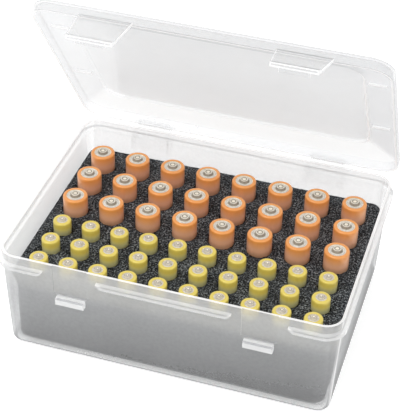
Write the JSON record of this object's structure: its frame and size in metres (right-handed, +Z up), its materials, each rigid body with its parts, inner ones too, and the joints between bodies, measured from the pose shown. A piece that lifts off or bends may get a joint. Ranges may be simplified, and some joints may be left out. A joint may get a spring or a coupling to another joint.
{
  "type": "battery storage case",
  "caption": "Hinged-lid clear plastic case holding upright cylindrical cells in a pocketed foam block, with two swinging front latches.",
  "frame": {"origin": "centre of the face that the tray stands on", "axes": "+X along the front to the right, +Y towards the hinge side, +Z up; the lid stands open as pictured"},
  "size_m": [0.197, 0.153, 0.1934],
  "materials": {
    "case": "translucent natural polypropylene, smooth",
    "foam": "open-cell charcoal foam",
    "large_wrap": "printed film wrap, orange over salmon",
    "small_wrap": "printed film wrap, yellow"
  },
  "bodies": {
    "base": {"base_shell": "case", "foam_insert": "foam"},
    "lid": {"lid_shell": "case"},
    "latch_left": {"latch_left": "case"},
    "latch_right": {"latch_right": "case"},
    "cell_aa_row1_no1": {"cell_aa_row1_no1": "large_wrap"},
    "cell_aa_row1_no2": {"cell_aa_row1_no2": "large_wrap"},
    "cell_aa_row1_no3": {"cell_aa_row1_no3": "large_wrap"},
    "cell_aa_row1_no4": {"cell_aa_row1_no4": "large_wrap"},
    "cell_aa_row1_no5": {"cell_aa_row1_no5": "large_wrap"},
    "cell_aa_row1_no6": {"cell_aa_row1_no6": "large_wrap"},
    "cell_aa_row1_no7": {"cell_aa_row1_no7": "large_wrap"},
    "cell_aa_row1_no8": {"cell_aa_row1_no8": "large_wrap"},
    "cell_aa_row2_no1": {"cell_aa_row2_no1": "large_wrap"},
    "cell_aa_row2_no2": {"cell_aa_row2_no2": "large_wrap"},
    "cell_aa_row2_no3": {"cell_aa_row2_no3": "large_wrap"},
    "cell_aa_row2_no4": {"cell_aa_row2_no4": "large_wrap"},
    "cell_aa_row2_no5": {"cell_aa_row2_no5": "large_wrap"},
    "cell_aa_row2_no6": {"cell_aa_row2_no6": "large_wrap"},
    "cell_aa_row2_no7": {"cell_aa_row2_no7": "large_wrap"},
    "cell_aa_row2_no8": {"cell_aa_row2_no8": "large_wrap"},
    "cell_aa_row3_no1": {"cell_aa_row3_no1": "large_wrap"},
    "cell_aa_row3_no2": {"cell_aa_row3_no2": "large_wrap"},
    "cell_aa_row3_no3": {"cell_aa_row3_no3": "large_wrap"},
    "cell_aa_row3_no4": {"cell_aa_row3_no4": "large_wrap"},
    "cell_aa_row3_no5": {"cell_aa_row3_no5": "large_wrap"},
    "cell_aa_row3_no6": {"cell_aa_row3_no6": "large_wrap"},
    "cell_aa_row3_no7": {"cell_aa_row3_no7": "large_wrap"},
    "cell_aa_row3_no8": {"cell_aa_row3_no8": "large_wrap"},
    "cell_aaa_row1_no1": {"cell_aaa_row1_no1": "small_wrap"},
    "cell_aaa_row1_no2": {"cell_aaa_row1_no2": "small_wrap"},
    "cell_aaa_row1_no3": {"cell_aaa_row1_no3": "small_wrap"},
    "cell_aaa_row1_no4": {"cell_aaa_row1_no4": "small_wrap"},
    "cell_aaa_row1_no5": {"cell_aaa_row1_no5": "small_wrap"},
    "cell_aaa_row1_no6": {"cell_aaa_row1_no6": "small_wrap"},
    "cell_aaa_row1_no7": {"cell_aaa_row1_no7": "small_wrap"},
    "cell_aaa_row1_no8": {"cell_aaa_row1_no8": "small_wrap"},
    "cell_aaa_row1_no9": {"cell_aaa_row1_no9": "small_wrap"},
    "cell_aaa_row1_no10": {"cell_aaa_row1_no10": "small_wrap"},
    "cell_aaa_row2_no1": {"cell_aaa_row2_no1": "small_wrap"},
    "cell_aaa_row2_no2": {"cell_aaa_row2_no2": "small_wrap"},
    "cell_aaa_row2_no3": {"cell_aaa_row2_no3": "small_wrap"},
    "cell_aaa_row2_no4": {"cell_aaa_row2_no4": "small_wrap"},
    "cell_aaa_row2_no5": {"cell_aaa_row2_no5": "small_wrap"},
    "cell_aaa_row2_no6": {"cell_aaa_row2_no6": "small_wrap"},
    "cell_aaa_row2_no7": {"cell_aaa_row2_no7": "small_wrap"},
    "cell_aaa_row2_no8": {"cell_aaa_row2_no8": "small_wrap"},
    "cell_aaa_row2_no9": {"cell_aaa_row2_no9": "small_wrap"},
    "cell_aaa_row2_no10": {"cell_aaa_row2_no10": "small_wrap"},
    "cell_aaa_row3_no1": {"cell_aaa_row3_no1": "small_wrap"},
    "cell_aaa_row3_no2": {"cell_aaa_row3_no2": "small_wrap"},
    "cell_aaa_row3_no3": {"cell_aaa_row3_no3": "small_wrap"},
    "cell_aaa_row3_no4": {"cell_aaa_row3_no4": "small_wrap"},
    "cell_aaa_row3_no5": {"cell_aaa_row3_no5": "small_wrap"},
    "cell_aaa_row3_no6": {"cell_aaa_row3_no6": "small_wrap"},
    "cell_aaa_row3_no7": {"cell_aaa_row3_no7": "small_wrap"},
    "cell_aaa_row3_no8": {"cell_aaa_row3_no8": "small_wrap"},
    "cell_aaa_row3_no9": {"cell_aaa_row3_no9": "small_wrap"},
    "cell_aaa_row3_no10": {"cell_aaa_row3_no10": "small_wrap"}
  },
  "joints": [
    {"name": "lid_hinge", "type": "hinge", "parent": "base", "child": "lid", "pos_m": [0, 0.0775, 0.0615], "axis": [-1, 0, 0], "range_deg": [-55.6, 54.4]},
    {"name": "latch_left_flap", "type": "hinge", "parent": "lid", "child": "latch_left", "pos_m": [-0.0534, -0.00755, 0.18554], "axis": [-1, 0, 0], "range_deg": [-34.4, 75.6], "stiffness_Nm_per_rad": 0.004},
    {"name": "latch_right_flap", "type": "hinge", "parent": "lid", "child": "latch_right", "pos_m": [0.0534, -0.00755, 0.18554], "axis": [-1, 0, 0], "range_deg": [-47.3, 62.7], "stiffness_Nm_per_rad": 0.004},
    {"name": "cell_aa_row1_no1_lift", "type": "slide", "parent": "base", "child": "cell_aa_row1_no1", "axis": [0, 0, 1], "range_m": [0, 0.042]},
    {"name": "cell_aa_row1_no2_lift", "type": "slide", "parent": "base", "child": "cell_aa_row1_no2", "axis": [0, 0, 1], "range_m": [0, 0.042]},
    {"name": "cell_aa_row1_no3_lift", "type": "slide", "parent": "base", "child": "cell_aa_row1_no3", "axis": [0, 0, 1], "range_m": [0, 0.042]},
    {"name": "cell_aa_row1_no4_lift", "type": "slide", "parent": "base", "child": "cell_aa_row1_no4", "axis": [0, 0, 1], "range_m": [0, 0.042]},
    {"name": "cell_aa_row1_no5_lift", "type": "slide", "parent": "base", "child": "cell_aa_row1_no5", "axis": [0, 0, 1], "range_m": [0, 0.042]},
    {"name": "cell_aa_row1_no6_lift", "type": "slide", "parent": "base", "child": "cell_aa_row1_no6", "axis": [0, 0, 1], "range_m": [0, 0.042]},
    {"name": "cell_aa_row1_no7_lift", "type": "slide", "parent": "base", "child": "cell_aa_row1_no7", "axis": [0, 0, 1], "range_m": [0, 0.042]},
    {"name": "cell_aa_row1_no8_lift", "type": "slide", "parent": "base", "child": "cell_aa_row1_no8", "axis": [0, 0, 1], "range_m": [0, 0.042]},
    {"name": "cell_aa_row2_no1_lift", "type": "slide", "parent": "base", "child": "cell_aa_row2_no1", "axis": [0, 0, 1], "range_m": [0, 0.042]},
    {"name": "cell_aa_row2_no2_lift", "type": "slide", "parent": "base", "child": "cell_aa_row2_no2", "axis": [0, 0, 1], "range_m": [0, 0.042]},
    {"name": "cell_aa_row2_no3_lift", "type": "slide", "parent": "base", "child": "cell_aa_row2_no3", "axis": [0, 0, 1], "range_m": [0, 0.042]},
    {"name": "cell_aa_row2_no4_lift", "type": "slide", "parent": "base", "child": "cell_aa_row2_no4", "axis": [0, 0, 1], "range_m": [0, 0.042]},
    {"name": "cell_aa_row2_no5_lift", "type": "slide", "parent": "base", "child": "cell_aa_row2_no5", "axis": [0, 0, 1], "range_m": [0, 0.042]},
    {"name": "cell_aa_row2_no6_lift", "type": "slide", "parent": "base", "child": "cell_aa_row2_no6", "axis": [0, 0, 1], "range_m": [0, 0.042]},
    {"name": "cell_aa_row2_no7_lift", "type": "slide", "parent": "base", "child": "cell_aa_row2_no7", "axis": [0, 0, 1], "range_m": [0, 0.042]},
    {"name": "cell_aa_row2_no8_lift", "type": "slide", "parent": "base", "child": "cell_aa_row2_no8", "axis": [0, 0, 1], "range_m": [0, 0.042]},
    {"name": "cell_aa_row3_no1_lift", "type": "slide", "parent": "base", "child": "cell_aa_row3_no1", "axis": [0, 0, 1], "range_m": [0, 0.042]},
    {"name": "cell_aa_row3_no2_lift", "type": "slide", "parent": "base", "child": "cell_aa_row3_no2", "axis": [0, 0, 1], "range_m": [0, 0.042]},
    {"name": "cell_aa_row3_no3_lift", "type": "slide", "parent": "base", "child": "cell_aa_row3_no3", "axis": [0, 0, 1], "range_m": [0, 0.042]},
    {"name": "cell_aa_row3_no4_lift", "type": "slide", "parent": "base", "child": "cell_aa_row3_no4", "axis": [0, 0, 1], "range_m": [0, 0.042]},
    {"name": "cell_aa_row3_no5_lift", "type": "slide", "parent": "base", "child": "cell_aa_row3_no5", "axis": [0, 0, 1], "range_m": [0, 0.042]},
    {"name": "cell_aa_row3_no6_lift", "type": "slide", "parent": "base", "child": "cell_aa_row3_no6", "axis": [0, 0, 1], "range_m": [0, 0.042]},
    {"name": "cell_aa_row3_no7_lift", "type": "slide", "parent": "base", "child": "cell_aa_row3_no7", "axis": [0, 0, 1], "range_m": [0, 0.042]},
    {"name": "cell_aa_row3_no8_lift", "type": "slide", "parent": "base", "child": "cell_aa_row3_no8", "axis": [0, 0, 1], "range_m": [0, 0.042]},
    {"name": "cell_aaa_row1_no1_lift", "type": "slide", "parent": "base", "child": "cell_aaa_row1_no1", "axis": [0, 0, 1], "range_m": [0, 0.042]},
    {"name": "cell_aaa_row1_no2_lift", "type": "slide", "parent": "base", "child": "cell_aaa_row1_no2", "axis": [0, 0, 1], "range_m": [0, 0.042]},
    {"name": "cell_aaa_row1_no3_lift", "type": "slide", "parent": "base", "child": "cell_aaa_row1_no3", "axis": [0, 0, 1], "range_m": [0, 0.042]},
    {"name": "cell_aaa_row1_no4_lift", "type": "slide", "parent": "base", "child": "cell_aaa_row1_no4", "axis": [0, 0, 1], "range_m": [0, 0.042]},
    {"name": "cell_aaa_row1_no5_lift", "type": "slide", "parent": "base", "child": "cell_aaa_row1_no5", "axis": [0, 0, 1], "range_m": [0, 0.042]},
    {"name": "cell_aaa_row1_no6_lift", "type": "slide", "parent": "base", "child": "cell_aaa_row1_no6", "axis": [0, 0, 1], "range_m": [0, 0.042]},
    {"name": "cell_aaa_row1_no7_lift", "type": "slide", "parent": "base", "child": "cell_aaa_row1_no7", "axis": [0, 0, 1], "range_m": [0, 0.042]},
    {"name": "cell_aaa_row1_no8_lift", "type": "slide", "parent": "base", "child": "cell_aaa_row1_no8", "axis": [0, 0, 1], "range_m": [0, 0.042]},
    {"name": "cell_aaa_row1_no9_lift", "type": "slide", "parent": "base", "child": "cell_aaa_row1_no9", "axis": [0, 0, 1], "range_m": [0, 0.042]},
    {"name": "cell_aaa_row1_no10_lift", "type": "slide", "parent": "base", "child": "cell_aaa_row1_no10", "axis": [0, 0, 1], "range_m": [0, 0.042]},
    {"name": "cell_aaa_row2_no1_lift", "type": "slide", "parent": "base", "child": "cell_aaa_row2_no1", "axis": [0, 0, 1], "range_m": [0, 0.042]},
    {"name": "cell_aaa_row2_no2_lift", "type": "slide", "parent": "base", "child": "cell_aaa_row2_no2", "axis": [0, 0, 1], "range_m": [0, 0.042]},
    {"name": "cell_aaa_row2_no3_lift", "type": "slide", "parent": "base", "child": "cell_aaa_row2_no3", "axis": [0, 0, 1], "range_m": [0, 0.042]},
    {"name": "cell_aaa_row2_no4_lift", "type": "slide", "parent": "base", "child": "cell_aaa_row2_no4", "axis": [0, 0, 1], "range_m": [0, 0.042]},
    {"name": "cell_aaa_row2_no5_lift", "type": "slide", "parent": "base", "child": "cell_aaa_row2_no5", "axis": [0, 0, 1], "range_m": [0, 0.042]},
    {"name": "cell_aaa_row2_no6_lift", "type": "slide", "parent": "base", "child": "cell_aaa_row2_no6", "axis": [0, 0, 1], "range_m": [0, 0.042]},
    {"name": "cell_aaa_row2_no7_lift", "type": "slide", "parent": "base", "child": "cell_aaa_row2_no7", "axis": [0, 0, 1], "range_m": [0, 0.042]},
    {"name": "cell_aaa_row2_no8_lift", "type": "slide", "parent": "base", "child": "cell_aaa_row2_no8", "axis": [0, 0, 1], "range_m": [0, 0.042]},
    {"name": "cell_aaa_row2_no9_lift", "type": "slide", "parent": "base", "child": "cell_aaa_row2_no9", "axis": [0, 0, 1], "range_m": [0, 0.042]},
    {"name": "cell_aaa_row2_no10_lift", "type": "slide", "parent": "base", "child": "cell_aaa_row2_no10", "axis": [0, 0, 1], "range_m": [0, 0.042]},
    {"name": "cell_aaa_row3_no1_lift", "type": "slide", "parent": "base", "child": "cell_aaa_row3_no1", "axis": [0, 0, 1], "range_m": [0, 0.042]},
    {"name": "cell_aaa_row3_no2_lift", "type": "slide", "parent": "base", "child": "cell_aaa_row3_no2", "axis": [0, 0, 1], "range_m": [0, 0.042]},
    {"name": "cell_aaa_row3_no3_lift", "type": "slide", "parent": "base", "child": "cell_aaa_row3_no3", "axis": [0, 0, 1], "range_m": [0, 0.042]},
    {"name": "cell_aaa_row3_no4_lift", "type": "slide", "parent": "base", "child": "cell_aaa_row3_no4", "axis": [0, 0, 1], "range_m": [0, 0.042]},
    {"name": "cell_aaa_row3_no5_lift", "type": "slide", "parent": "base", "child": "cell_aaa_row3_no5", "axis": [0, 0, 1], "range_m": [0, 0.042]},
    {"name": "cell_aaa_row3_no6_lift", "type": "slide", "parent": "base", "child": "cell_aaa_row3_no6", "axis": [0, 0, 1], "range_m": [0, 0.042]},
    {"name": "cell_aaa_row3_no7_lift", "type": "slide", "parent": "base", "child": "cell_aaa_row3_no7", "axis": [0, 0, 1], "range_m": [0, 0.042]},
    {"name": "cell_aaa_row3_no8_lift", "type": "slide", "parent": "base", "child": "cell_aaa_row3_no8", "axis": [0, 0, 1], "range_m": [0, 0.042]},
    {"name": "cell_aaa_row3_no9_lift", "type": "slide", "parent": "base", "child": "cell_aaa_row3_no9", "axis": [0, 0, 1], "range_m": [0, 0.042]},
    {"name": "cell_aaa_row3_no10_lift", "type": "slide", "parent": "base", "child": "cell_aaa_row3_no10", "axis": [0, 0, 1], "range_m": [0, 0.042]}
  ]
}
